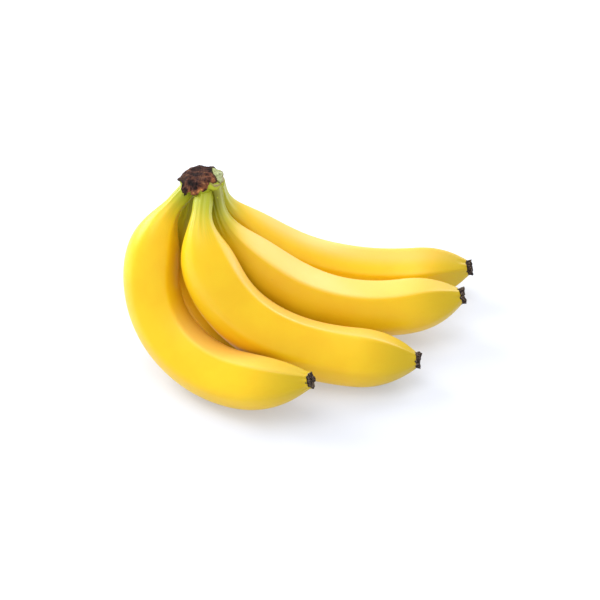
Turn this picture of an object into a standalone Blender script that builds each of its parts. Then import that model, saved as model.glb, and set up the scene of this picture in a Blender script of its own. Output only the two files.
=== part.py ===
"""A bunch of five bananas lying on a flat surface.

Units are metres and +Z is up. Five curved fingers hang from one crown. Four of them rest on the surface, on
small flat spots, and banana_3 is carried a few millimetres above it. The origin is on the surface, under the
middle of the bunch.
"""
import math
from typing import NamedTuple

import bmesh
import bpy
import numpy as np

# Clearance that two neighbouring pieces keep
GAP = 0.0003

# A finger's bend is shared out along it by smooth humps: (middle, width) as fractions of its length
NECK_HUMP = (0.10, 0.09)
MIDDLE_HUMP = (0.38, 0.22)
END_HUMP = (0.72, 0.20)

# How a finger's thickness runs
STALK_LENGTH = 0.010       # of even thickness, from the start of the middle line
STALK_INTO_CROWN = 0.006   # how far the stalk runs back into the crown before the crown trims it
BLOSSOM_RADIUS = 0.0052    # to which the body closes
BLUNT_LENGTH = 0.003       # at that radius, up to the finger's end
CLOSING_POWER = 2.4        # larger closes the body more bluntly

# The dried remnant of the flower, which is the last of the finger's length
DRIED_LENGTH = 0.0045
DRIED_RADIUS = 0.0046
DRIED_LOBES = 5
DRIED_LOBE_DEPTH = 0.14
DRIED_PROFILE = ((0.0, 0.90), (0.25, 1.0), (0.6, 0.94), (1.0, 0.72))   # along it, over its radius
DRIED_POINTS = 20

# The section: five sides, which meet in ridges
SIDES = 5
SIDE_ANGLE = 2 * math.pi / SIDES
FLAT_RADIUS = 0.94         # at the middle of a side, over the finger's own radius
RIDGE_SHARPNESS = 12       # larger is crisper
OUTER_SOFTNESS = 0.3       # how much rounder the section is on the outside of the bend

# The crown at each height: how far it swells past the stalks, and how far they are drawn to its middle
CROWN_PROFILE = (
    (0.1070, -0.0014, 0.00),
    (0.1095, -0.0002, 0.00),
    (0.1125, 0.0002, 0.05),
    (0.1145, 0.0012, 0.08),
    (0.1170, 0.0014, 0.14),
    (0.1195, 0.0008, 0.22),
    (0.1217, 0.0002, 0.30),
    (0.1235, -0.0008, 0.36),
    (0.1244, -0.0022, 0.40),
)
CROWN_POINTS = 40
CROWN_LOBE_SHARPNESS = 12
CROWN_RAGGEDNESS = 0.0005

# Fineness of the fingers
LINE_STEPS = 220
RINGS = 36
RING_CROWDING = 0.11       # draws rings towards both ends
POINTS_PER_SIDE = 4

# The surface that the bunch lies on
SURFACE_SIZE = 0.4
SURFACE_DEPTH = 0.02


class Finger(NamedTuple):
    """One banana. Angles are in degrees."""
    root: tuple            # start of the middle line, in the crown
    heading: float         # way in which the stalk sets out, from +X towards +Y
    dip: float             # and how far below level
    roll: float            # turns the plane of the bend about the stalk: at 0 the finger bends upwards
    sweep: float           # lean of the stalk out of that plane, which fades along the neck
    bends: tuple           # in the neck, in the middle and towards the end
    length: float          # along the middle line, with the dried end
    girth: float           # radius of the body
    stalk: float           # radius of the stalk
    neck: float            # length over which the stalk swells to the body
    taper: float           # length over which the body closes
    ridges: tuple          # turn of the ridges about the middle line: at the crown, midway and at the end


FINGERS = {
    1: Finger((-0.0715, 0.0280, 0.1105), 189, 55, 135, 23, (16, 83, 42),
              0.213, 0.0180, 0.0057, 0.038, 0.057, (-6, -5, 10)),
    2: Finger((-0.0605, 0.0205, 0.1115), 244, 75, 112, 47, (16, 62, 19),
              0.207, 0.0190, 0.0062, 0.040, 0.041, (12, -13, -8)),
    3: Finger((-0.0545, 0.0235, 0.1120), 305, 81, 59, -7, (28, 39, 33),
              0.210, 0.0180, 0.0052, 0.059, 0.039, (38, 19, -2)),
    4: Finger((-0.0535, 0.0330, 0.1110), 76, 68, -77, -5, (23, 42, 33),
              0.226, 0.0175, 0.0061, 0.061, 0.037, (8, 6, 4)),
    5: Finger((-0.0660, 0.0355, 0.1105), 336, 105, -17, 6, (-1, 59, 37),
              0.145, 0.0160, 0.0062, 0.042, 0.044, (0, 0, 0)),
}
RESTING = (1, 2, 4, 5)
PRESSED_STALKS = ((3, 2), (4, 3), (5, 1), (5, 4))   # the first gives way to the second where stalks meet


def remove_everything():
    """Empties the scene of objects."""
    for old in list(bpy.data.objects):
        bpy.data.objects.remove(old, do_unlink=True)


def make_collection(name):
    """A new collection in the scene."""
    collection = bpy.data.collections.new(name)
    bpy.context.scene.collection.children.link(collection)
    return collection


def make_material(name, colour, roughness):
    """A plain surface."""
    material = bpy.data.materials.new(name)
    material.use_nodes = True
    shader = material.node_tree.nodes["Principled BSDF"]
    shader.inputs["Base Color"].default_value = (*colour, 1.0)
    shader.inputs["Roughness"].default_value = roughness
    shader.inputs["Metallic"].default_value = 0.0
    material.diffuse_color = (*colour, 1.0)
    return material


def make_loft(name, rings, collection, material):
    """A closed solid through rings of equally many points, with a flat face at each end."""
    shape = bmesh.new()
    rows = [[shape.verts.new(point) for point in ring] for ring in rings]
    count = len(rows[0])
    for near, far in zip(rows, rows[1:]):
        for k in range(count):
            after = (k + 1) % count
            shape.faces.new((near[k], near[after], far[after], far[k]))
    shape.faces.new(rows[0])
    shape.faces.new(rows[-1])
    bmesh.ops.recalc_face_normals(shape, faces=shape.faces)
    mesh = bpy.data.meshes.new(name)
    shape.to_mesh(mesh)
    shape.free()
    mesh.materials.append(material)
    mesh.shade_smooth()
    mesh.set_sharp_from_angle(angle=math.radians(50))
    loft = bpy.data.objects.new(name, mesh)
    collection.objects.link(loft)
    return loft


def hide_cutter(cutter):
    """Marks a shape that only cuts others."""
    cutter.hide_render = True
    cutter.display_type = "WIRE"


def add_cut(piece, cutter):
    """Takes the cutter's shape out of the piece."""
    cut = piece.modifiers.new(cutter.name, "BOOLEAN")
    cut.operation = "DIFFERENCE"
    cut.solver = "EXACT"
    cut.object = cutter


def hump_share(hump, along):
    """Part of a hump that lies before each place along a finger, from 0 to 1."""
    middle, width = hump
    grown = np.array([math.erf((place - middle) / width) for place in along])
    start = math.erf(-middle / width)
    end = math.erf((1 - middle) / width)
    return (grown - start) / (end - start)


def middle_line(finger):
    """A finger's middle line: points, and the ways ahead, to the inside of the bend and sideways at each."""
    heading, dip, roll, sweep = np.radians((finger.heading, finger.dip, finger.roll, finger.sweep))
    start = np.array((math.cos(heading) * math.cos(dip), math.sin(heading) * math.cos(dip), -math.sin(dip)))
    level = np.array((-math.sin(heading), math.cos(heading), 0.0))
    up = np.cross(start, level)
    inward = math.cos(roll) * up + math.sin(roll) * level
    across = np.cross(start, inward)

    along = np.linspace(0, 1, LINE_STEPS + 1)
    humps = (NECK_HUMP, MIDDLE_HUMP, END_HUMP)
    turned = sum(math.radians(bend) * hump_share(hump, along) for bend, hump in zip(finger.bends, humps))
    lean = sweep * (1 - hump_share(NECK_HUMP, along))
    in_plane = np.outer(np.cos(turned), start) + np.outer(np.sin(turned), inward)
    inside = np.outer(-np.sin(turned), start) + np.outer(np.cos(turned), inward)
    ahead = np.cos(lean)[:, None] * in_plane + np.sin(lean)[:, None] * across
    sideways = np.cross(ahead, inside)

    steps = (ahead[1:] + ahead[:-1]) / 2 * finger.length / LINE_STEPS
    points = np.array(finger.root) + np.vstack((np.zeros(3), np.cumsum(steps, axis=0)))
    return points, ahead, inside, sideways


def places_on_line(finger, distances):
    """The middle line's point, inside way and sideways way at distances from its start, or straight before it."""
    points, ahead, inside, sideways = middle_line(finger)
    marks = np.linspace(0, finger.length, LINE_STEPS + 1)
    for distance in distances:
        point, inner, side = (
            np.array([np.interp(distance, marks, column) for column in values.T])
            for values in (points, inside, sideways))
        yield point + ahead[0] * min(distance, 0.0), inner, side


def finger_radius(finger, distance):
    """A finger's radius at a distance along it: stalk, neck, body and blunt end."""
    swelling = min(max((distance - STALK_LENGTH) / finger.neck, 0.0), 1.0)
    neck = finger.stalk + (finger.girth - finger.stalk) * swelling ** 2 * (3 - 2 * swelling)
    left = min(max((finger.length - distance - BLUNT_LENGTH) / finger.taper, 0.0), 1.0)
    end = BLOSSOM_RADIUS + (finger.girth - BLOSSOM_RADIUS) * (1 - (1 - left) ** CLOSING_POWER)
    return min(neck, end)


def side_shape(angle):
    """Radius of the five-sided section at an angle from the inside of the bend, over the finger's own."""
    total = sum(max(0.0, math.cos(angle - k * SIDE_ANGLE)) ** RIDGE_SHARPNESS for k in range(SIDES))
    flat = FLAT_RADIUS * total ** (-1 / RIDGE_SHARPNESS)
    return 1 + (flat - 1) * (1 - OUTER_SOFTNESS * (1 - math.cos(angle)))


def ridge_turn(finger, part):
    """Turn of the ridges at a part of the length, on a smooth course through the finger's three values."""
    crown, midway, end = np.radians(finger.ridges)
    return crown * (1 - part) * (1 - 2 * part) + 4 * midway * part * (1 - part) + end * part * (2 * part - 1)


def finger_rings(finger, first, last, count, grow=0.0):
    """Sections of a finger between two distances along it, each point moved out by grow."""
    even = np.linspace(0, 1, count)
    distances = first + (last - first) * (even - RING_CROWDING * np.sin(2 * math.pi * even))
    points = SIDES * POINTS_PER_SIDE
    rings = []
    for distance, (middle, inner, side) in zip(distances, places_on_line(finger, distances)):
        turn = ridge_turn(finger, min(max(distance / finger.length, 0.0), 1.0))
        radius = finger_radius(finger, distance)
        ring = []
        for k in range(points):
            angle = 2 * math.pi * k / points
            reach = radius * side_shape(angle) + grow
            ring.append(middle + reach * (math.cos(angle + turn) * inner + math.sin(angle + turn) * side))
        rings.append(ring)
    return rings


def dried_rings(finger):
    """Sections of the dried remnant at a finger's end."""
    start = finger.length - DRIED_LENGTH + GAP
    distances = [start + (finger.length - start) * share for share, _ in DRIED_PROFILE]
    rings = []
    for (_, swell), (middle, inner, side) in zip(DRIED_PROFILE, places_on_line(finger, distances)):
        ring = []
        for k in range(DRIED_POINTS):
            angle = 2 * math.pi * k / DRIED_POINTS
            reach = DRIED_RADIUS * swell * (1 + DRIED_LOBE_DEPTH * math.cos(DRIED_LOBES * angle))
            ring.append(middle + reach * (math.cos(angle) * inner + math.sin(angle) * side))
        rings.append(ring)
    return rings


def crown_rings(grow=0.0):
    """Level outlines of the crown: it bulges round each stalk and draws together towards its top."""
    roots = [np.array(finger.root[:2]) for finger in FINGERS.values()]
    radii = [finger.stalk for finger in FINGERS.values()]
    middle = sum(roots) / len(roots)
    rings = []
    for level, (height, swell, drawn) in enumerate(CROWN_PROFILE):
        if level == 0:
            height -= grow
        ring = []
        for k in range(CROWN_POINTS):
            angle = 2 * math.pi * k / CROWN_POINTS
            way = np.array((math.cos(angle), math.sin(angle)))
            reaches = [(root - middle) @ way * (1 - drawn) + radius for root, radius in zip(roots, radii)]
            total = sum(max(0.0, reach) ** CROWN_LOBE_SHARPNESS for reach in reaches)
            ragged = CROWN_RAGGEDNESS * math.sin(7 * angle + 2 * level)
            reach = total ** (1 / CROWN_LOBE_SHARPNESS) + swell + ragged + grow
            ring.append((*(middle + reach * way), height))
        rings.append(ring)
    return rings


def make_surface_cutter(collection):
    """A block whose top is the surface, which flattens what rests on it."""
    bpy.ops.mesh.primitive_cube_add(size=1, location=(0, 0, -SURFACE_DEPTH / 2))
    block = bpy.context.active_object
    block.name = "surface_cutter"
    block.scale = (SURFACE_SIZE, SURFACE_SIZE, SURFACE_DEPTH)
    bpy.ops.object.transform_apply(location=False, rotation=False, scale=True)
    for holder in list(block.users_collection):
        holder.objects.unlink(block)
    collection.objects.link(block)
    return block


def centre_on_origin(pieces, cutters):
    """Hangs everything on an empty that brings the middle of the bunch over the origin."""
    corners = np.array([vertex.co for piece in pieces for vertex in piece.data.vertices])
    middle = (corners.min(axis=0) + corners.max(axis=0)) / 2
    place = bpy.data.objects.new("bunch_place", None)
    bpy.context.scene.collection.objects.link(place)
    place.location = (-middle[0], -middle[1], 0.0)
    for thing in (*pieces, *cutters):
        thing.parent = place


def build():
    """Makes the whole bunch."""
    remove_everything()
    bunch = make_collection("banana_bunch")
    cutters = make_collection("cutters")
    peel = make_material("peel", (0.93, 0.62, 0.05), 0.42)
    bark = make_material("crown_bark", (0.16, 0.08, 0.045), 0.85)
    dried = make_material("dried_flower", (0.035, 0.028, 0.02), 0.9)

    surface = make_surface_cutter(cutters)
    crown = make_loft("crown", crown_rings(), bunch, bark)
    crown_clearance = make_loft("crown_clearance", crown_rings(grow=1.5 * GAP), cutters, bark)

    bananas = {}
    pieces = [crown]
    for number, finger in FINGERS.items():
        rings = finger_rings(finger, -STALK_INTO_CROWN, finger.length - DRIED_LENGTH, RINGS)
        banana = make_loft(f"banana_{number}", rings, bunch, peel)
        add_cut(banana, crown_clearance)
        if number in RESTING:
            add_cut(banana, surface)
        bananas[number] = banana
        pieces += [banana, make_loft(f"tip_{number}", dried_rings(finger), bunch, dried)]

    shapes = [surface, crown_clearance]
    for giving, holding in PRESSED_STALKS:
        finger = FINGERS[holding]
        rings = finger_rings(finger, -STALK_INTO_CROWN, finger.neck, 12, grow=GAP)
        stalk = make_loft(f"stalk_{holding}_clearance", rings, cutters, peel)
        add_cut(bananas[giving], stalk)
        shapes.append(stalk)

    for shape in shapes:
        hide_cutter(shape)
    centre_on_origin(pieces, shapes)
    bpy.context.view_layer.update()


build()
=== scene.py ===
"""Looks of the bunch of bananas: waxy peel, fused green stalks, torn brown crown and dried flower ends.

Units are metres in the part's own frame. The fingers follow the same middle lines as the solids, with a
finer surface round them.
"""
import math
from typing import NamedTuple

import bmesh
import bpy
import numpy as np
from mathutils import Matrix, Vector, noise


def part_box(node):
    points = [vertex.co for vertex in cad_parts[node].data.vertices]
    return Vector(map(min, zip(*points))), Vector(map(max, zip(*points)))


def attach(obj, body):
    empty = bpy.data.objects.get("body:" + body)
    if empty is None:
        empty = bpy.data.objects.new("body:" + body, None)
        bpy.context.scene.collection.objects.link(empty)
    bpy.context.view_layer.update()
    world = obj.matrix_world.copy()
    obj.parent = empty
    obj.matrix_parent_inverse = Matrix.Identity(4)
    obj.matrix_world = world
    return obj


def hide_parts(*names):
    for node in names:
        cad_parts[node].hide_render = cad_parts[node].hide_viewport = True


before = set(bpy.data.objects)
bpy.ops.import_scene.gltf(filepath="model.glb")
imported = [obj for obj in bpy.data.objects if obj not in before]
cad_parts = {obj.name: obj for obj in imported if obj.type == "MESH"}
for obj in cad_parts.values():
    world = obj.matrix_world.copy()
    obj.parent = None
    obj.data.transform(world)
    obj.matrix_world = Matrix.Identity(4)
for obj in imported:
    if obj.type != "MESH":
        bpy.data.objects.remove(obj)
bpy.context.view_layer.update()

# A finger's bend is shared out along it by smooth humps: (middle, width) as fractions of its length
NECK_HUMP = (0.10, 0.09)
MIDDLE_HUMP = (0.38, 0.22)
END_HUMP = (0.72, 0.20)
LINE_STEPS = 900

# How a finger's thickness runs
STALK_LENGTH = 0.010
NECK_RISE = 1.66
BLOSSOM_RADIUS = 0.0052
BLUNT_LENGTH = 0.003
CLOSING_POWER = 2.4

# The section: five slightly bulging sides, which meet in ridges
SIDES = 5
SIDE_ANGLE = 2 * math.pi / SIDES
SIDE_REACH = 0.94          # to the middle of a side, over the finger's own radius
SIDE_BULGE = 5.0           # radius of a side's own curve, over the finger's
INNER_SHARPNESS = 34       # of the ridges beside the inside of the bend
OUTER_SHARPNESS = 9
OUTER_SOFTNESS = 0.3       # how much rounder the section is on the outside of the bend

# Cloudy noise in the surfaces: how fast its finer layers fade, and how much finer each layer is
NOISE_FADE = 0.8
NOISE_LAYER = 2.1

# The peel's surface
PEEL_RINGS = 300
PEEL_POINTS = 120
PEEL_START = -0.004        # where it begins inside the crown, along the stalk
PEEL_OVERLAP = 0.0004      # how far it runs on into the dried flower
RING_CROWDING = 0.11       # how much closer its rings lie towards both ends
SLIM_STALK = 1.2           # it is neck up to this times the stalk's radius
SLIM_GIRTH = 0.8           # and body from this times the greatest radius
NECK_RIDGES = 0.15         # how much deeper the ridges are on the neck
STALK_GROOVES = 11
GROOVE_DEPTH = 0.00016
GROOVE_FADE = (0.020, 0.045)
PUCKERS = 10               # small folds round the blossom end
PUCKER_DEPTH = 0.00022
PUCKER_REACH = 0.007
WAVE_HEIGHT = 0.00014
WAVES = ((0.113, 1, 0.5), (0.071, 2, 0.3), (0.047, 3, 0.2))    # length, turns round the finger, weight
PAINTED_SHADE_REACH = 0.007         # how far from its neighbour a finger still gets painted shade
NEIGHBOUR_MARKS = 90       # places along a neighbour from which that distance is taken

# The crown at each height: how far it swells past the stalks, and how far they are drawn to its middle
CROWN_PROFILE = (
    (0.1070, -0.0014, 0.00),
    (0.1095, -0.0002, 0.00),
    (0.1125, 0.0002, 0.05),
    (0.1145, 0.0012, 0.08),
    (0.1170, 0.0014, 0.14),
    (0.1195, 0.0008, 0.22),
    (0.1217, 0.0002, 0.30),
    (0.1235, -0.0008, 0.36),
    (0.1244, -0.0022, 0.40),
)
CROWN_TOP = CROWN_PROFILE[-1][0]
CROWN_LOBE_SHARPNESS = 12
CROWN_RAGGEDNESS = 0.0005
CROWN_POINTS = 40          # round each outline of the solid crown

# What the dressed crown is grown together from: stubs of the stalks, a cushion and a skirt of bark
CROWN_RINGS = 40
STUB_POINTS = 60
STUB_RIDGES = 1.3
# How far a stub stands out past its stalk at places along it
STUB_FLARE = (
    (-0.0095, -0.0036), (-0.0040, -0.0004), (0.0020, -0.0001), (0.0060, -0.0012), (0.0100, -0.0024),
)
STUB_START = STUB_FLARE[0][0]
STUB_END = STUB_FLARE[-1][0]
CUSHION_POINTS = 180
CUSHION_BASE = 0.1150
CUSHION_SHOULDER = 0.1190
CUSHION_SINK = 0.0012
CUSHION_INSET = 0.0004
BASE_INSET = 0.0022        # how much further in the cushion starts at its base, and over which height
BASE_RISE = 0.0035
SKIRT_AZIMUTHS = (206, 262)
SKIRT_STEPS = 16
SKIRT_BASE = 0.1090
SKIRT_TOP = 0.1190
SKIRT_THICKNESS = 0.0010
SKIRT_EDGE = 0.00055       # its thickness at the torn edge
SKIRT_SINK = 0.0002
SKIRT_CURL = 0.0007
CROWN_GRAIN = 0.00032      # size of the fused crown's mesh faces
SETTLING = 8               # times that its points are evened out

# Height of the bark's torn lower edge at azimuths round the crown, from +X towards +Y
BARK_EDGE = (
    (15, 0.1232), (45, 0.1222), (70, 0.1185), (100, 0.1165), (118, 0.1178), (135, 0.1158), (155, 0.1174),
    (168, 0.1180), (180, 0.1170), (190, 0.1184), (204, 0.1188), (209, 0.1168), (212, 0.1107), (216, 0.1114),
    (222, 0.1130), (228, 0.1147), (234, 0.1154), (239, 0.1135), (246, 0.1139), (252, 0.1148), (258, 0.1160),
    (266, 0.1177), (271, 0.1171), (277, 0.1170), (283, 0.1182), (288, 0.1202), (296, 0.1216), (308, 0.1204),
    (322, 0.1203), (340, 0.1215),
)
BARK_TEAR = 0.0007
TEAR_SCALE = 420           # of the pattern by which torn edges waver, over the metre
HEM_WIDTH = 0.0040         # of the bark's hem along its torn edge
HEM_AZIMUTHS = (222, 230)  # between which the hem becomes lighter, on round to +X
CHARRED_AZIMUTHS = (165, 172, 220, 228)    # where its charred part sets in, is full, fades and ends
UNDER_BARK_SHADE_WIDTH = 0.0014       # of the painted shade, a darker green, below the bark's edge
CENTRE_WIDTH = 0.0085      # of the darker middle of the bark's top
CENTRE_HEIGHTS = (0.1225, 0.1240)

# The pale scar: height of its dried rim at azimuths round the crown, and its other edge across the top
SCAR_RIM = (
    (285, 0.1222), (296, 0.1212), (306, 0.1196), (321, 0.1183), (338, 0.1178), (353, 0.1182), (380, 0.1193),
)
SCAR_START = 0.0056        # towards +X from the crown's middle, at its top
SCAR_SLANT = 0.2
SCAR_STEEPNESS = 0.8
SCAR_BACK = 0.0065
SCAR_AZIMUTH = 350
SCAR_BREADTH = 0.75
SCAR_INSET = 0.0007
SCAR_TEAR = 0.0003
RIM_WIDTH = 0.0007
RIM_FADE = (-0.0060, -0.0042)
# The crease along the scar's edge, sunk and darkened with painted shade
CREASE_PLACE = -0.0004
CREASE_WIDTH = 0.00045
VALLEY_WIDTH = 0.0009      # of the grooves between stalks, which are sunk and darkened with painted shade
VALLEY_FADE = (0.1175, 0.1200)

# How far the crown's surface stands out or is sunk at its marks, and how fine its patterns are
BARK_RELIEF = 0.00015
FIBRE_RELIEF = 0.00028
LUMP_RELIEF = 0.0005
HOOK_RELIEF = 0.0013       # of the scrap of bark that sticks out at the left
HOOK_AZIMUTH = 180
HOOK_BREADTH = 6.5
HOOK_LEVEL = 0.1182
HOOK_HEIGHT = 0.0011
RIM_RELIEF = 0.0005
CREASE_DEPTH = 0.00035
VALLEY_DEPTH = 0.0006
SKIN_RELIEF = 0.00006
SKIN_STRETCH = (1, 1, 0.35)
SKIN_SCALE = 700
LUMP_SCALE = 260
STRAND_DEGREES = 7         # round the crown, to one strand of the bark's fibres
STRAND_SCALE = 120

# The dried flowers
FLOWER_POINTS = 72
FLOWER_OUTER_RINGS = 22
FLOWER_INNER_RINGS = 14
FLOWER_ROOT = 0.0006       # how far it reaches back into the peel
FLOWER_LOBES = 5
FLOWER_PROFILE = ((0.0, 0.99), (0.15, 1.05), (0.35, 0.94), (0.8, 1.0), (1.0, 1.02))
FLOWER_WALL = 0.90         # radius inside the rim, over the radius outside it
FLOWER_FLOOR = 0.85        # height of the closed floor inside, over the rim's
FLOWER_CREASE = 0.00055
CREASES_AROUND = 3.2       # how fine its creases are round it and along it
CREASES_ALONG = 260
SCRAP_SPLAY = 0.25
# The scraps that stand out of its rim: angle, length and width
SCRAPS = ((0.2, 0.0013, 0.30), (1.9, 0.0006, 0.22), (3.3, 0.0003, 0.35), (4.8, 0.0006, 0.25))


class Finger(NamedTuple):
    """One banana. Angles are in degrees."""
    root: tuple        # where its middle line starts, in the crown
    heading: float     # level, from +X towards +Y
    dip: float         # below level
    roll: float        # of the inside of its bend, round its way out of the crown
    sweep: float       # sideways lean at the crown, which the neck takes back
    bends: tuple       # at the neck, the middle and the end
    length: float
    girth: float       # its greatest radius
    stalk: float       # radius of its stalk
    neck: float        # length over which it swells
    taper: float       # length over which it closes
    ridges: tuple      # their turn at the crown, midway and at the end


FINGERS = {
    1: Finger((-0.0715, 0.0280, 0.1105), 189, 55, 135, 23, (16, 83, 42),
              0.213, 0.0180, 0.0057, 0.038, 0.057, (-14, -4, 18)),
    2: Finger((-0.0605, 0.0205, 0.1115), 244, 75, 112, 47, (16, 62, 19),
              0.207, 0.0190, 0.0062, 0.040, 0.041, (13, -10, -2)),
    3: Finger((-0.0545, 0.0235, 0.1120), 305, 81, 59, -7, (28, 39, 33),
              0.210, 0.0180, 0.0052, 0.059, 0.039, (30, 10, -2)),
    4: Finger((-0.0535, 0.0330, 0.1110), 76, 68, -77, -5, (23, 42, 33),
              0.226, 0.0175, 0.0061, 0.061, 0.037, (8, 6, 4)),
    5: Finger((-0.0660, 0.0355, 0.1105), 336, 105, -17, 6, (-1, 59, 37),
              0.145, 0.0160, 0.0062, 0.042, 0.044, (0, 0, 0)),
}
CROWN_MIDDLE = np.mean([finger.root[:2] for finger in FINGERS.values()], axis=0)

# Length and radius of each finger's dried flower
DRIED_SIZES = {
    1: (0.0016, 0.0047),
    2: (0.0036, 0.0053),
    3: (0.0035, 0.0053),
    4: (0.0038, 0.0053),
    5: (0.0030, 0.0050),
}

# How soft a finger's ridges are near the crown, and the part of its length over which they sharpen
RIDGE_SOFTNESS = {
    1: (0.60, 0.25, 0.55),
    2: (0.35, 0.20, 0.45),
    3: (0.15, 0.10, 0.30),
    4: (0.55, 0.35, 0.80),
    5: (0.30, 0.20, 0.50),
}

# The paler side of each finger on the inside of its bend, partly its own hue and partly painted sheen: its
# middle, half its width and the softness of its edge in degrees, and the part of the length over which it
# sets in
PALE_AND_SHEEN_SIDES = {
    1: (0, 33, 8, 0.36, 0.56),
    2: (0, 33, 6, 0.12, 0.26),
    3: (0, 33, 6, 0.10, 0.24),
    4: (-26, 12, 34, 0.12, 0.30),
    5: (0, 33, 8, 0.30, 0.50),
}

# Length of each finger's green neck, and how strong the painted shade is where it lies close to a neighbour
GREEN_NECKS = {1: 0.020, 2: 0.029, 3: 0.034, 4: 0.036, 5: 0.055}
PAINTED_SHADE_DEPTHS = {1: 0.12, 2: 0.25, 3: 1.00, 4: 0.35, 5: 0.50}

# The floor glows less round the bunch: its least and greatest glow, and the distances where it changes
FLOOR_HALF = 12.0
FLOOR_GLOW = (0.38, 0.75)
FLOOR_GLOW_REACH = (0.16, 0.60)

# The white room and its soft square lights: where each stands, and its power in watts
ROOM_LIGHT = 0.86
LIGHT_AIM = (0, 0, 0.05)
LIGHT_SIZE = 0.80
LIGHTS = {
    "back_softbox": ((0.75, 0.95, 0.80), 8.0),
    "left_softbox": ((-1.00, 0.60, 0.75), 15.0),
    "top_softbox": ((-0.30, -0.25, 1.35), 5.5),
}

# The camera, as near to the photograph's viewing angle as the bananas' outlines tell: it looks along +Y and
# down at a point above the fan's middle
CAMERA_TARGET = (0.0, 0.0, 0.045)
CAMERA_DISTANCE = 1.0
CAMERA_ELEVATION = 35
CAMERA_LENS = 93
CAMERA_SENSOR = 36


def mix(first, second, share):
    """Straight blend of two values."""
    return first + (second - first) * share


def smooth(low, high, value):
    """0 below low, 1 above high and a soft step between."""
    share = np.clip((value - low) / (high - low), 0, 1)
    return share * share * (3 - 2 * share)


def band(offset, width):
    """1 on a line, and fading to 0 on both sides of it."""
    return np.exp(-(offset / width) ** 2)


def full_turn(count):
    """Even angles round a full turn."""
    return 2 * math.pi * np.arange(count) / count


def way_round(angle, place):
    """The shorter way round from a place to an angle, in radians."""
    return np.angle(np.exp(1j * (angle - place)))


def noise_at(points, scale, octaves=3, seed=0.0):
    """Cloudy noise from about -1 to 1 at points."""
    places = (points * scale).reshape(-1, 3)
    values = [noise.fractal(Vector((x, y, z + seed)), NOISE_FADE, NOISE_LAYER, octaves) for x, y, z in places]
    return np.reshape(values, points.shape[:-1])


def hump_share(hump, along):
    """Part of a hump that lies before each place along a finger, from 0 to 1."""
    middle, width = hump
    grown = np.array([math.erf((place - middle) / width) for place in along])
    start = math.erf(-middle / width)
    end = math.erf((1 - middle) / width)
    return (grown - start) / (end - start)


def middle_line(finger):
    """A finger's middle line: points, and the ways ahead, inside the bend and sideways at each."""
    heading, dip, roll, sweep = np.radians((finger.heading, finger.dip, finger.roll, finger.sweep))
    start = np.array((math.cos(heading) * math.cos(dip), math.sin(heading) * math.cos(dip), -math.sin(dip)))
    level = np.array((-math.sin(heading), math.cos(heading), 0.0))
    up = np.cross(start, level)
    inward = math.cos(roll) * up + math.sin(roll) * level
    across = np.cross(start, inward)

    along = np.linspace(0, 1, LINE_STEPS + 1)
    humps = (NECK_HUMP, MIDDLE_HUMP, END_HUMP)
    turned = sum(math.radians(bend) * hump_share(hump, along) for bend, hump in zip(finger.bends, humps))
    lean = sweep * (1 - hump_share(NECK_HUMP, along))
    in_plane = np.outer(np.cos(turned), start) + np.outer(np.sin(turned), inward)
    inside = np.outer(-np.sin(turned), start) + np.outer(np.cos(turned), inward)
    ahead = np.cos(lean)[:, None] * in_plane + np.sin(lean)[:, None] * across
    sideways = np.cross(ahead, inside)

    steps = (ahead[1:] + ahead[:-1]) / 2 * finger.length / LINE_STEPS
    points = np.array(finger.root) + np.vstack((np.zeros(3), np.cumsum(steps, axis=0)))
    return points, ahead, inside, sideways


def line_at(finger, distance):
    """The middle line's points and its ways inside and sideways, straight on beyond both ends."""
    points, ahead, inside, sideways = middle_line(finger)
    marks = np.linspace(0, finger.length, LINE_STEPS + 1)
    middle, inside, sideways = (
        np.stack([np.interp(distance, marks, column) for column in values.T], axis=-1)
        for values in (points, inside, sideways))
    middle += np.minimum(distance, 0)[..., None] * ahead[0]
    middle += np.maximum(distance - finger.length, 0)[..., None] * ahead[-1]
    return middle, inside, sideways


def around_line(finger, distance, reach, turn):
    """Points round a finger's middle line, turned from the inside of its bend."""
    middle, inside, sideways = line_at(finger, distance)
    outward = np.cos(turn)[..., None] * inside + np.sin(turn)[..., None] * sideways
    return middle + reach[..., None] * outward


def finger_radius(finger, distance):
    """A finger's radius at distances along it: stalk, neck, body and blunt end."""
    swelling = np.maximum(distance - STALK_LENGTH, 0) / finger.neck
    neck = mix(finger.stalk, finger.girth, 1 - np.exp(-(NECK_RISE * swelling) ** 2))
    left = np.clip((finger.length - distance - BLUNT_LENGTH) / finger.taper, 0, 1)
    end = BLOSSOM_RADIUS + (finger.girth - BLOSSOM_RADIUS) * (1 - (1 - left) ** CLOSING_POWER)
    return np.minimum(neck, end)


def side_shape(angle, depth):
    """Reach of the five-sided section over the finger's radius, with its ridges as deep as depth says."""
    sharpness = mix(INNER_SHARPNESS, OUTER_SHARPNESS, (1 - np.cos(angle)) / 2)
    offset = SIDE_BULGE - SIDE_REACH
    total = 0
    for k in range(SIDES):
        turned = angle - k * SIDE_ANGLE
        reach = np.sqrt(SIDE_BULGE ** 2 - (offset * np.sin(turned)) ** 2) - offset * np.cos(turned)
        total = total + reach ** -sharpness
    sided = total ** (-1 / sharpness)
    return 1 + (sided - 1) * depth * (1 - OUTER_SOFTNESS * (1 - np.cos(angle)))


def ridge_turn(finger, part):
    """Turn of the ridges at a part of the length, on a curve through the finger's three values."""
    crown, midway, end = np.radians(finger.ridges)
    left = 1 - part
    return crown * left * (1 - 2 * part) + 4 * midway * part * left + end * part * (2 * part - 1)


def waves(number, distance, angle):
    """Shallow unevenness of a grown surface, different on each finger, from -1 to 1."""
    total = np.zeros(np.broadcast(distance, angle).shape)
    for k, (pitch, turns, weight) in enumerate(WAVES):
        phase = 1.7 * number + 2.3 * k
        total += weight * np.sin(2 * math.pi * distance / pitch + turns * angle + phase)
    return total


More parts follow.
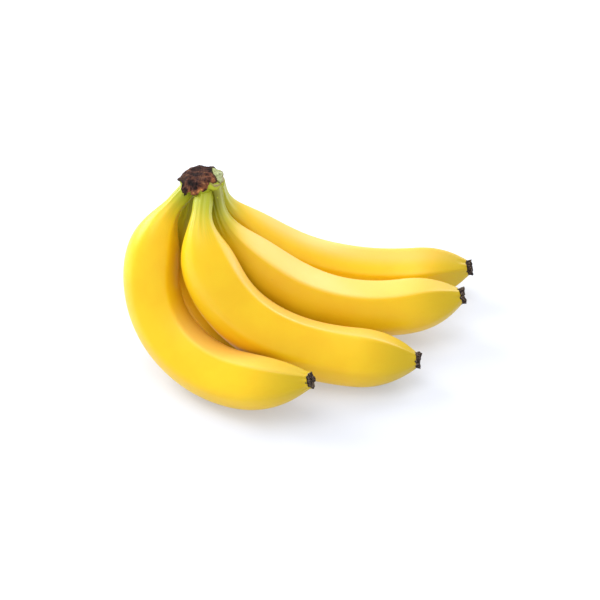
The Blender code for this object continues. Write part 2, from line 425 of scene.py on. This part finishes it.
def crown_rings(heights, points):
    """Level outlines of the crown: it bulges round each stalk and draws together towards its top."""
    levels, swells, draws = np.transpose(CROWN_PROFILE)
    angles = full_turn(points)
    ways = np.column_stack((np.cos(angles), np.sin(angles)))
    rings = []
    for height in heights:
        level, swell, drawn = (
            np.interp(height, levels, column) for column in (np.arange(len(levels)), swells, draws))
        total = 0
        for finger in FINGERS.values():
            root = np.array(finger.root[:2]) - CROWN_MIDDLE
            lobe = np.maximum(0.0, ways @ root * (1 - drawn) + finger.stalk)
            total = total + lobe ** CROWN_LOBE_SHARPNESS
        ragged = CROWN_RAGGEDNESS * np.sin(7 * angles + 2 * level)
        reach = total ** (1 / CROWN_LOBE_SHARPNESS) + swell + ragged
        rings.append(np.column_stack((CROWN_MIDDLE + reach[:, None] * ways, np.full(points, height))))
    return np.array(rings)


# From the fingers' own frame to the part's, which puts the middle of the bunch over the origin
solid_outlines = crown_rings([height for height, _, _ in CROWN_PROFILE], CROWN_POINTS)
PLACE = np.array(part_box("crown")[0]) - solid_outlines.min(axis=(0, 1))
PLACE[2] = 0.0


def grid_faces(rings, points):
    """Quads between rings of points, and a flat face over each end."""
    faces = []
    for ring in range(rings - 1):
        for k in range(points):
            after = (k + 1) % points
            near, far = ring * points, (ring + 1) * points
            faces.append((near + k, near + after, far + after, far + k))
    faces.append(tuple(range(points))[::-1])
    faces.append(tuple((rings - 1) * points + k for k in range(points)))
    return faces


def make_piece(name, points, faces, material, values=None):
    """A smooth mesh with a number per point for each named value."""
    mesh = bpy.data.meshes.new(name)
    mesh.from_pydata(np.reshape(points, (-1, 3)).tolist(), [], faces)
    mesh.materials.append(material)
    for key, numbers in (values or {}).items():
        attribute = mesh.attributes.new(key, "FLOAT", "POINT")
        attribute.data.foreach_set("value", np.asarray(numbers, np.float32).ravel())
    mesh.shade_smooth()
    piece = bpy.data.objects.new(name, mesh)
    bpy.context.scene.collection.objects.link(piece)
    return piece


def gap_to(points, axis, radius):
    """Distance of points from the surface round a middle line."""
    return (np.linalg.norm(points[..., None, :] - axis, axis=-1) - radius).min(axis=-1)


def nearness(number, points):
    """How near points of one finger are to the next finger's surface: 1 where they would touch."""
    gaps = []
    for other, finger in FINGERS.items():
        if other != number:
            distance = np.linspace(0.0, finger.length, NEIGHBOUR_MARKS)
            axis = line_at(finger, distance)[0] + PLACE
            gaps.append(gap_to(points, axis, finger_radius(finger, distance)))
    return np.exp(-np.maximum(np.min(gaps, axis=0), 0) / PAINTED_SHADE_REACH)


def make_peel(number, finger, material):
    """One banana's peel, from inside the crown to the dried flower."""
    end = finger.length - DRIED_SIZES[number][0]
    even = np.linspace(0, 1, PEEL_RINGS)
    crowded = even - RING_CROWDING * np.sin(2 * math.pi * even)
    distance = (PEEL_START + (end + PEEL_OVERLAP - PEEL_START) * crowded)[:, None]
    angle = full_turn(PEEL_POINTS)[None, :]

    part = np.clip(distance / finger.length, 0, 1)
    radius = finger_radius(finger, distance)
    slim = 1 - smooth(finger.stalk * SLIM_STALK, finger.girth * SLIM_GIRTH, radius)
    softness, soft_until, sharp_from = RIDGE_SOFTNESS[number]
    depth = (1 + NECK_RIDGES * slim) * (1 - softness * (1 - smooth(soft_until, sharp_from, part)))
    grooves = GROOVE_DEPTH * np.sin(STALK_GROOVES * angle + 3 * np.sin(2 * angle + number)) * slim
    at_end = 1 - smooth(0.0, PUCKER_REACH, end - distance)
    puckers = PUCKER_DEPTH * np.cos(PUCKERS * angle + number) * at_end
    reach = radius * side_shape(angle, depth)
    reach = reach + WAVE_HEIGHT * waves(number, distance, angle) * (1 - slim)
    reach = reach + grooves * (1 - smooth(*GROOVE_FADE, distance)) + puckers
    points = around_line(finger, distance, reach, ridge_turn(finger, part) + angle) + PLACE
    points[..., 2] = np.maximum(points[..., 2], 0.0)

    # The pale side is partly the peel's own paler hue and partly painted sheen
    pale_middle, pale_half, pale_edge, pale_from, pale_full = PALE_AND_SHEEN_SIDES[number]
    from_pale = np.abs((np.degrees(angle) - pale_middle + 180) % 360 - 180)
    pale = (1 - smooth(pale_half, pale_half + pale_edge, from_pale)) * smooth(pale_from, pale_full, part)
    along, around = np.broadcast_arrays(distance, angle)
    values = {
        "from_crown": along / GREEN_NECKS[number],
        "to_tip": np.maximum(end - along, 0),
        "pale": pale,
        # Painted shade: the peel is darker where it lies close to another finger
        "painted_shade": nearness(number, points) * PAINTED_SHADE_DEPTHS[number] * (1 - pale),
        "around": np.cos(around),
        "side": np.sin(around),
        "along": along,
    }
    piece = make_piece(f"peel_{number}", points, grid_faces(PEEL_RINGS, PEEL_POINTS), material, values)
    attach(piece, "root")
    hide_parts(f"banana_{number}")
    return piece


def height_at(azimuth, course):
    """Height of a course round the crown at azimuths in degrees."""
    marks = np.array(course)
    return np.interp(azimuth % 360, marks[:, 0] % 360, marks[:, 1], period=360)


def crown_stub(finger):
    """The part of a stalk that is grown into the crown, with its faces."""
    distance = np.linspace(STUB_START, STUB_END, CROWN_RINGS)[:, None]
    angle = full_turn(STUB_POINTS)[None, :]
    turn = ridge_turn(finger, np.clip(distance / finger.length, 0, 1)) + angle
    reach = finger.stalk * side_shape(angle, STUB_RIDGES) + np.interp(distance, *np.transpose(STUB_FLARE))
    return around_line(finger, distance, reach, turn), grid_faces(CROWN_RINGS, STUB_POINTS)


def crown_cushion():
    """The domed cushion over the stalks, drawn in at its scar, with its faces."""
    heights = np.linspace(CUSHION_BASE, CROWN_TOP, CROWN_RINGS)
    points = crown_rings(heights, CUSHION_POINTS)
    points[..., 2] -= CUSHION_SINK * smooth(CUSHION_SHOULDER, CROWN_TOP, heights)[:, None]
    at_base = 1 - smooth(0.0, BASE_RISE, heights - CUSHION_BASE)
    at_scar = band(way_round(full_turn(CUSHION_POINTS), math.radians(SCAR_AZIMUTH)), SCAR_BREADTH)
    inset = CUSHION_INSET + at_base[:, None] * BASE_INSET + at_scar[None, :] * SCAR_INSET
    offset = points[..., :2] - CROWN_MIDDLE
    reach = np.linalg.norm(offset, axis=-1)
    points[..., :2] = CROWN_MIDDLE + offset * (1 - inset / reach)[..., None]
    return points, grid_faces(CROWN_RINGS, CUSHION_POINTS)


def crown_skirt():
    """The scraps of bark that hang free of the stalks at the front, as one torn strip, with its faces."""
    azimuth = np.arange(*SKIRT_AZIMUTHS)
    rise = np.linspace(0, 1, SKIRT_STEPS)
    share = np.concatenate((rise, rise[::-1]))[None, :]
    inner = np.repeat((1.0, 0.0), SKIRT_STEPS)[None, :]
    height = mix(height_at(azimuth, BARK_EDGE)[:, None], SKIRT_TOP, share)

    levels = np.linspace(SKIRT_BASE, SKIRT_TOP, CROWN_RINGS)
    outlines = np.linalg.norm(crown_rings(levels, 360)[..., :2] - CROWN_MIDDLE, axis=-1)
    radius = [np.interp(row, levels, outlines[:, degree]) for degree, row in zip(azimuth, height)]
    curl = SKIRT_CURL * (1 - share) ** 2
    radius = np.array(radius) - SKIRT_SINK + curl - mix(SKIRT_EDGE, SKIRT_THICKNESS, share) * inner
    turn = np.radians(azimuth)[:, None]
    outward = np.stack((np.cos(turn), np.sin(turn)), axis=-1)
    points = np.concatenate((CROWN_MIDDLE + radius[..., None] * outward, height[..., None]), axis=-1)
    return points, grid_faces(len(azimuth), 2 * SKIRT_STEPS)


def settle(points, edges, times):
    """Evens out a mesh's points: each moves halfway to the middle of its neighbours, so many times."""
    count = np.bincount(edges.ravel(), minlength=len(points))[:, None]
    for _ in range(times):
        total = np.zeros_like(points)
        np.add.at(total, edges[:, 0], points[edges[:, 1]])
        np.add.at(total, edges[:, 1], points[edges[:, 0]])
        points = (points + total / count) / 2
    return points


def drop_bubbles(mesh):
    """Deletes all but the largest loose part of a mesh, such as bubbles that a remesh leaves inside."""
    body = bmesh.new()
    body.from_mesh(mesh)
    left = set(body.verts)
    parts = []
    while left:
        part = [left.pop()]
        for vertex in part:
            beside = {edge.other_vert(vertex) for edge in vertex.link_edges} & left
            part.extend(beside)
            left -= beside
        parts.append(part)
    parts.sort(key=len)
    bmesh.ops.delete(body, geom=[vertex for part in parts[:-1] for vertex in part], context="VERTS")
    body.to_mesh(mesh)
    body.free()


def grow_together(blocks, material):
    """Fuses closed blocks, each with its faces, into one surface: its points, faces and normals."""
    points, faces, start = [], [], 0
    for block, block_faces in blocks:
        points.append(block.reshape(-1, 3))
        faces += [tuple(start + k for k in face) for face in block_faces]
        start += len(points[-1])
    rough = make_piece("crown_rough", np.vstack(points), faces, material)
    remesh = rough.modifiers.new("grown_together", "REMESH")
    remesh.mode = "VOXEL"
    remesh.voxel_size = CROWN_GRAIN
    fused = bpy.data.meshes.new_from_object(rough.evaluated_get(bpy.context.evaluated_depsgraph_get()))
    bpy.data.objects.remove(rough)
    drop_bubbles(fused)

    points = np.array([vertex.co for vertex in fused.vertices])
    edges = np.array([edge.vertices[:] for edge in fused.edges])
    faces = [tuple(face.vertices) for face in fused.polygons]
    points = settle(points, edges, SETTLING)
    fused.vertices.foreach_set("co", points.ravel())
    fused.update()
    normals = np.array([vertex.normal for vertex in fused.vertices])
    bpy.data.meshes.remove(fused)
    return points, faces, normals


def crown_marks(points):
    """How strongly each of the crown's marks shows at its points, and the pattern of its fibres."""
    offset = points[:, :2] - CROWN_MIDDLE
    height = points[:, 2]
    azimuth = np.degrees(np.arctan2(offset[:, 1], offset[:, 0]))
    compass = azimuth % 360
    from_middle = np.hypot(*offset.T)
    tear = noise_at(points, TEAR_SCALE)
    above_bark = height - height_at(azimuth, BARK_EDGE)
    above_rim = height - height_at(azimuth, SCAR_RIM) + tear * SCAR_TEAR
    beside = offset[:, 0] - SCAR_START + SCAR_SLANT * offset[:, 1] - SCAR_STEEPNESS * (CROWN_TOP - height)
    beside = np.minimum(beside, SCAR_BACK - offset[:, 1]) + tear * SCAR_TEAR

    scar = smooth(-0.0001, 0.0003, beside) * smooth(0.0, 0.0004, above_rim)
    bark = smooth(-0.0002, 0.0003, above_bark + tear * BARK_TEAR) * (1 - scar)
    bark = bark * (1 - smooth(-0.0001, 0.0002, beside))
    hem = bark * band(above_bark, HEM_WIDTH)
    char_start, char_full, char_until, char_end = CHARRED_AZIMUTHS
    charred = hem * smooth(char_start, char_full, compass) * (1 - smooth(char_until, char_end, compass))

    marks = np.linspace(STUB_START, STUB_END, CROWN_RINGS)
    gaps = [gap_to(points, line_at(finger, marks)[0], finger.stalk) for finger in FINGERS.values()]
    nearest, second = np.sort(gaps, axis=0)[:2]
    strands = np.column_stack((azimuth / STRAND_DEGREES, height * STRAND_SCALE, from_middle * STRAND_SCALE))
    return {
        "bark": bark,
        "scar": scar,
        "rim": band(above_rim, RIM_WIDTH) * smooth(*RIM_FADE, beside),
        # The crease beside the scar, sunk in the relief and darkened with painted shade in the colour
        "crease": band(beside - CREASE_PLACE, CREASE_WIDTH) * smooth(-0.0002, 0.0004, above_rim),
        # Grooves between stalks, sunk in the relief and darkened with painted shade in the colour
        "valley": band(second - nearest, VALLEY_WIDTH) * (1 - smooth(*VALLEY_FADE, height)) * (1 - bark),
        # Painted shade below the bark's edge
        "under_bark_shade": np.exp(-np.maximum(-above_bark, 0) / UNDER_BARK_SHADE_WIDTH) * (1 - bark) * (1 - scar),
        "hem": hem * smooth(*HEM_AZIMUTHS, compass),
        "charred": charred,
        "fibre": 1 - 2 * np.abs(noise_at(strands, 1.0, seed=5.0)),
        "centre": np.exp(-(from_middle / CENTRE_WIDTH) ** 4) * smooth(*CENTRE_HEIGHTS, height),
    }


def crown_relief(points, marks):
    """How far the crown's surface stands out at each point."""
    offset = points[:, :2] - CROWN_MIDDLE
    from_hook = way_round(np.arctan2(offset[:, 1], offset[:, 0]), math.radians(HOOK_AZIMUTH))
    hook = band(from_hook, math.radians(HOOK_BREADTH)) * band(points[:, 2] - HOOK_LEVEL, HOOK_HEIGHT)
    lumps = noise_at(points, LUMP_SCALE, seed=9.0)
    rough = BARK_RELIEF + FIBRE_RELIEF * marks["fibre"] + LUMP_RELIEF * lumps + HOOK_RELIEF * hook
    grain = SKIN_RELIEF * noise_at(points * SKIN_STRETCH, SKIN_SCALE, octaves=2, seed=3.0)
    edges = marks["rim"] * RIM_RELIEF - marks["crease"] * CREASE_DEPTH - marks["valley"] * VALLEY_DEPTH
    return marks["bark"] * rough + edges + (1 - marks["bark"]) * grain


def make_crown(material):
    """The crown: stalks grown together, with dry torn bark over their top and a pale scar at one side."""
    blocks = [crown_cushion(), crown_skirt()] + [crown_stub(finger) for finger in FINGERS.values()]
    points, faces, normals = grow_together(blocks, material)
    marks = crown_marks(points)
    points = points + normals * crown_relief(points, marks)[:, None] + PLACE
    crown = make_piece("crown_skin", points, faces, material, marks)
    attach(crown, "root")
    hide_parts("crown")
    return crown


def make_flower(number, finger, material):
    """The dried remnant of the flower: a shrivelled, torn cup with scraps that stand out of its rim."""
    dried_length, dried_radius = DRIED_SIZES[number]
    angle = full_turn(FLOWER_POINTS)
    phase = 1.9 * number
    scraps = sum(length * band(way_round(angle, place), width) for place, length, width in SCRAPS)
    lobes = 0.10 * np.cos(FLOWER_LOBES * angle + phase) + 0.05 * np.cos(9 * angle + 2 * phase)
    rim = dried_length * (0.88 + 0.06 * np.cos(3 * angle + phase)) + scraps

    up = np.linspace(0, 1, FLOWER_OUTER_RINGS)[:, None]
    swell = np.interp(up, *np.transpose(FLOWER_PROFILE))
    outer_along = -FLOWER_ROOT + (rim + FLOWER_ROOT) * up
    outer_reach = dried_radius * swell * (1 + lobes * up ** 0.5) + SCRAP_SPLAY * scraps * up ** 2
    inward = np.linspace(0, 1, FLOWER_INNER_RINGS)[1:, None]
    inner_along = rim * mix(1.0, FLOWER_FLOOR, smooth(0.0, 0.6, inward))
    inner_rim = dried_radius * (1 + lobes) * FLOWER_WALL + SCRAP_SPLAY * scraps
    inner_reach = inner_rim * (1 - inward) + 0.0002
    distance = finger.length - dried_length + np.vstack((outer_along, inner_along))
    reach = np.vstack((outer_reach, inner_reach))
    turn = np.broadcast_to(angle, distance.shape)
    points = around_line(finger, distance, reach, turn)

    up_course = distance * CREASES_ALONG + 7 * number
    course = (np.cos(turn) * CREASES_AROUND, np.sin(turn) * CREASES_AROUND, up_course)
    creases = noise_at(np.stack(course, axis=-1), 1.0)
    to_middle = line_at(finger, distance)[0] - points
    to_middle /= np.maximum(np.linalg.norm(to_middle, axis=-1), 1e-6)[..., None]
    points = points + to_middle * (creases * FLOWER_CREASE)[..., None] + PLACE
    faces = grid_faces(len(distance), FLOWER_POINTS)
    piece = make_piece(f"flower_{number}", points, faces, material, {"crease": creases})
    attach(piece, "root")
    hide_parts(f"tip_{number}")
    return piece


class Paint:
    """A new material, with short ways to add nodes to it."""

    def __init__(self, name):
        self.material = bpy.data.materials.new(name)
        self.material.use_nodes = True
        self.tree = self.material.node_tree
        self.place = self.add("ShaderNodeTexCoord").outputs["Object"]

    def plug(self, value, socket):
        """Links a node's output to a socket, or sets a plain value on it."""
        if isinstance(value, bpy.types.NodeSocket):
            self.tree.links.new(value, socket)
        else:
            socket.default_value = value

    def add(self, kind, **settings):
        """A new node. Each setting goes to its input of that name, or else to the node itself."""
        node = self.tree.nodes.new(kind)
        for key, value in settings.items():
            if key in node.inputs:
                self.plug(value, node.inputs[key])
            else:
                setattr(node, key, value)
        return node

    def dress(self, values):
        """Plugs values into the shader's own sockets, and gives the finished material."""
        for key, value in values.items():
            self.plug(value, self.tree.nodes["Principled BSDF"].inputs[key])
        return self.material

    def value(self, name):
        """A number that the mesh has at each point."""
        return self.add("ShaderNodeAttribute", attribute_name=name).outputs["Fac"]

    def maths(self, operation, first, second):
        """Arithmetic on two numbers."""
        node = self.add("ShaderNodeMath", operation=operation)
        self.plug(first, node.inputs[0])
        self.plug(second, node.inputs[1])
        return node.outputs[0]

    def times(self, first, second):
        """Product of two numbers."""
        return self.maths("MULTIPLY", first, second)

    def inverse(self, number):
        """What a number leaves of 1."""
        return self.maths("SUBTRACT", 1.0, number)

    def shifted(self, number, pattern, amount):
        """A number that a pattern raises and lowers by up to half of an amount."""
        return self.maths("ADD", number, self.times(self.maths("SUBTRACT", pattern, 0.5), amount))

    def step(self, number, start, end, low=0.0, high=1.0, way="SMOOTHSTEP"):
        """Goes from low to high while a number goes from start to end."""
        node = self.add("ShaderNodeMapRange", interpolation_type=way, Value=number)
        for key, value in (("From Min", start), ("From Max", end), ("To Min", low), ("To Max", high)):
            self.plug(value, node.inputs[key])
        return node.outputs[0]

    def cloud(self, scale, detail=2.0, roughness=0.5, place=None):
        """Cloudy pattern, finer for a larger scale."""
        node = self.add("ShaderNodeTexNoise", Scale=scale, Detail=detail, Roughness=roughness)
        self.plug(self.place if place is None else place, node.inputs["Vector"])
        return node.outputs["Fac"]

    def ramp(self, number, stops):
        """Colours at stops along a number."""
        node = self.add("ShaderNodeValToRGB")
        self.plug(number, node.inputs[0])
        while len(node.color_ramp.elements) < len(stops):
            node.color_ramp.elements.new(0.5)
        for element, (place, colour) in zip(node.color_ramp.elements, stops):
            element.position = place
            element.color = (*colour, 1)
        return node.outputs[0]

    def blend(self, share, first, second, way="MIX"):
        """Blend of two colours. The node's colour sockets come after those for numbers and vectors."""
        node = self.add("ShaderNodeMix", data_type="RGBA", blend_type=way)
        for socket, value in ((0, share), (6, first), (7, second)):
            self.plug(value, node.inputs[socket])
        return node.outputs[2]

    def bump(self, height, strength, distance):
        """Fine relief."""
        node = self.add("ShaderNodeBump", Strength=strength, Distance=distance, Height=height)
        return node.outputs["Normal"]


def peel_material():
    """Waxy yellow peel: green at the stalk, olive at the blossom end, with faint streaks and freckles."""
    yellow = (0.90, 0.575, 0.008, 1)
    gold = (0.88, 0.53, 0.005, 1)
    pale = (0.90, 0.56, 0.120, 1)
    green = (0.43, 0.46, 0.022, 1)
    olive = (0.52, 0.37, 0.002, 1)
    freckle = (0.28, 0.13, 0.03, 1)
    painted_shade_tint = (0.36, 0.31, 0.10, 1)

    paint = Paint("banana_peel")
    grain = paint.cloud(420.0, 4.0, 0.6)
    course = paint.add("ShaderNodeCombineXYZ")
    for socket, (key, stretch) in enumerate((("around", 0.020), ("side", 0.020), ("along", 0.06))):
        paint.plug(paint.times(paint.value(key), stretch), course.inputs[socket])
    streak = paint.cloud(520.0, 3.0, place=course.outputs[0])

    peel = paint.blend(paint.step(paint.cloud(38.0, 3.0, 0.55), 0.36, 0.68), yellow, gold)
    # Paler inner side: partly the peel's own hue, partly painted sheen
    peel = paint.blend(paint.times(paint.value("pale"), 0.8), peel, pale)
    from_crown = paint.shifted(paint.value("from_crown"), streak, 0.35)
    peel = paint.blend(paint.inverse(paint.step(from_crown, 0.15, 1.30)), peel, green)
    near_tip = paint.inverse(paint.step(paint.value("to_tip"), 0.0, 0.045))
    peel = paint.blend(paint.times(near_tip, 0.88), peel, olive)
    spots = paint.add("ShaderNodeTexVoronoi", Vector=paint.place, Scale=160.0, Randomness=1.0)
    spot = paint.inverse(paint.step(spots.outputs["Distance"], 0.02, 0.07))
    rare = paint.step(paint.cloud(60.0), 0.58, 0.66)
    peel = paint.blend(paint.times(paint.times(spot, rare), 0.45), peel, freckle)
    # Painted shade where fingers lie close together
    peel = paint.blend(paint.value("painted_shade"), peel, paint.blend(1.0, peel, painted_shade_tint, "MULTIPLY"))
    relief = paint.maths("ADD", paint.times(streak, 0.6), paint.times(grain, 0.4))
    return paint.dress({
        "Base Color": peel,
        "Roughness": paint.shifted(0.36, grain, 0.16),
        "Specular IOR Level": 0.36,
        "Subsurface Weight": 0.12,
        "Subsurface Radius": (1.0, 0.45, 0.08),
        "Subsurface Scale": 0.004,
        "Normal": paint.bump(relief, 0.10, 0.0006),
    })


def crown_material():
    """Green skin of the fused stalks, dark dry bark with torn fibres, and the pale scar with its rim."""
    bark_shades = ((0.36, (0.006, 0.003, 0.003)), (0.46, (0.024, 0.009, 0.008)),
                   (0.54, (0.062, 0.022, 0.015)), (0.64, (0.125, 0.050, 0.026)),
                   (0.76, (0.27, 0.14, 0.065)))
    scar_shades = ((0.34, (0.14, 0.13, 0.06)), (0.50, (0.32, 0.36, 0.15)), (0.66, (0.48, 0.52, 0.26)))
    centre_tint = (0.42, 0.42, 0.60, 1)
    hem_tint = (3.0, 2.6, 1.6, 1)
    char = (0.012, 0.008, 0.007, 1)
    green = (0.38, 0.43, 0.020, 1)
    light_green = (0.47, 0.50, 0.028, 1)
    valley_shade_green = (0.17, 0.19, 0.010, 1)
    under_bark_shade_green = (0.19, 0.23, 0.020, 1)
    rim_brown = (0.27, 0.19, 0.085, 1)
    crease_shade_brown = (0.030, 0.022, 0.012, 1)

    paint = Paint("crown_bark")
    fine = paint.cloud(900.0, 4.0, 0.65)
    shade = paint.maths("ADD", paint.cloud(230.0, 5.0, 0.6), paint.times(paint.value("fibre"), 0.06))
    bark = paint.ramp(paint.shifted(shade, fine, 0.25), bark_shades)
    bark = paint.blend(paint.times(paint.value("centre"), 0.75), bark, centre_tint, "MULTIPLY")
    hem = paint.blend(1.0, bark, hem_tint, "MULTIPLY")
    bark = paint.blend(paint.times(paint.value("hem"), 0.80), bark, hem)
    bark = paint.blend(paint.times(paint.value("charred"), 0.85), bark, char)

    skin = paint.blend(fine, green, light_green)
    # Painted shade in the grooves between stalks
    skin = paint.blend(paint.times(paint.value("valley"), 0.75), skin, valley_shade_green)
    # Painted shade below the bark's edge
    skin = paint.blend(paint.times(paint.value("under_bark_shade"), 0.55), skin, under_bark_shade_green)
    skin = paint.blend(paint.value("scar"), skin, paint.ramp(fine, scar_shades))
    skin = paint.blend(paint.value("rim"), skin, rim_brown)
    crown = paint.blend(paint.value("bark"), skin, bark)
    # Painted shade in the crease beside the scar
    crown = paint.blend(paint.times(paint.value("crease"), 0.85), crown, crease_shade_brown)
    return paint.dress({
        "Base Color": crown,
        "Roughness": paint.step(paint.value("bark"), 0.0, 1.0, 0.42, 0.80, "LINEAR"),
        "Specular IOR Level": 0.18,
        "Normal": paint.bump(paint.times(fine, paint.value("bark")), 0.35, 0.0004),
    })


def flower_material():
    """Almost black dried petals with grey and brown flecks."""
    shades = ((0.38, (0.005, 0.003, 0.003)), (0.50, (0.022, 0.013, 0.009)),
              (0.58, (0.095, 0.060, 0.042)), (0.68, (0.42, 0.35, 0.29)))
    paint = Paint("dried_flower")
    fine = paint.cloud(1100.0, 4.0, 0.7)
    return paint.dress({
        "Base Color": paint.ramp(fine, shades),
        "Roughness": 0.7,
        "Specular IOR Level": 0.2,
        "Normal": paint.bump(fine, 0.5, 0.0004),
    })


def make_floor():
    """The plain pale floor, which glows a little so that it stays near white away from the bunch."""
    paint = Paint("floor")
    away = paint.add("ShaderNodeVectorMath", operation="LENGTH")
    paint.plug(paint.place, away.inputs[0])
    material = paint.dress({
        "Base Color": (0.50, 0.51, 0.54, 1),
        "Roughness": 0.9,
        "Specular IOR Level": 0.0,
        "Emission Color": (0.80, 0.86, 1.0, 1),
        "Emission Strength": paint.step(away.outputs["Value"], *FLOOR_GLOW_REACH, *FLOOR_GLOW),
    })
    corners = FLOOR_HALF * np.array([(-1, -1, 0), (1, -1, 0), (1, 1, 0), (-1, 1, 0)])
    floor = make_piece("floor", corners, [(0, 1, 2, 3)], material)


def add_light(name, place, power):
    """A square soft light that shines on the bunch."""
    light = bpy.data.lights.new(name, "AREA")
    light.shape = "SQUARE"
    light.size = LIGHT_SIZE
    light.energy = power
    holder = bpy.data.objects.new(name, light)
    holder.location = place
    holder.rotation_euler = (Vector(LIGHT_AIM) - Vector(place)).to_track_quat("-Z", "Y").to_euler()
    holder.visible_camera = False
    bpy.context.scene.collection.objects.link(holder)


def light_studio():
    """A white room with soft lights from the left, from behind and from above."""
    world = bpy.data.worlds.new("studio")
    bpy.context.scene.world = world
    world.use_nodes = True
    background = world.node_tree.nodes["Background"]
    background.inputs["Color"].default_value = (1.0, 1.0, 1.0, 1)
    background.inputs["Strength"].default_value = ROOM_LIGHT
    for name, (place, power) in LIGHTS.items():
        add_light(name, place, power)
    bpy.context.scene.view_settings.view_transform = "Standard"
    bpy.context.scene.view_settings.look = "None"


def place_camera():
    """The photograph's point of view."""
    lens = bpy.data.cameras.new("photo_camera")
    lens.lens = CAMERA_LENS
    lens.sensor_width = CAMERA_SENSOR
    camera = bpy.data.objects.new("photo_camera", lens)
    elevation = math.radians(CAMERA_ELEVATION)
    back = np.array((0.0, -math.cos(elevation), math.sin(elevation)))
    camera.location = PLACE + np.array(CAMERA_TARGET) + back * CAMERA_DISTANCE
    camera.rotation_euler = (math.pi / 2 - elevation, 0, 0)
    bpy.context.scene.collection.objects.link(camera)
    bpy.context.scene.camera = camera


peel = peel_material()
dried = flower_material()
for number, finger in FINGERS.items():
    make_peel(number, finger, peel)
    make_flower(number, finger, dried)
make_crown(crown_material())
make_floor()
light_studio()
place_camera()
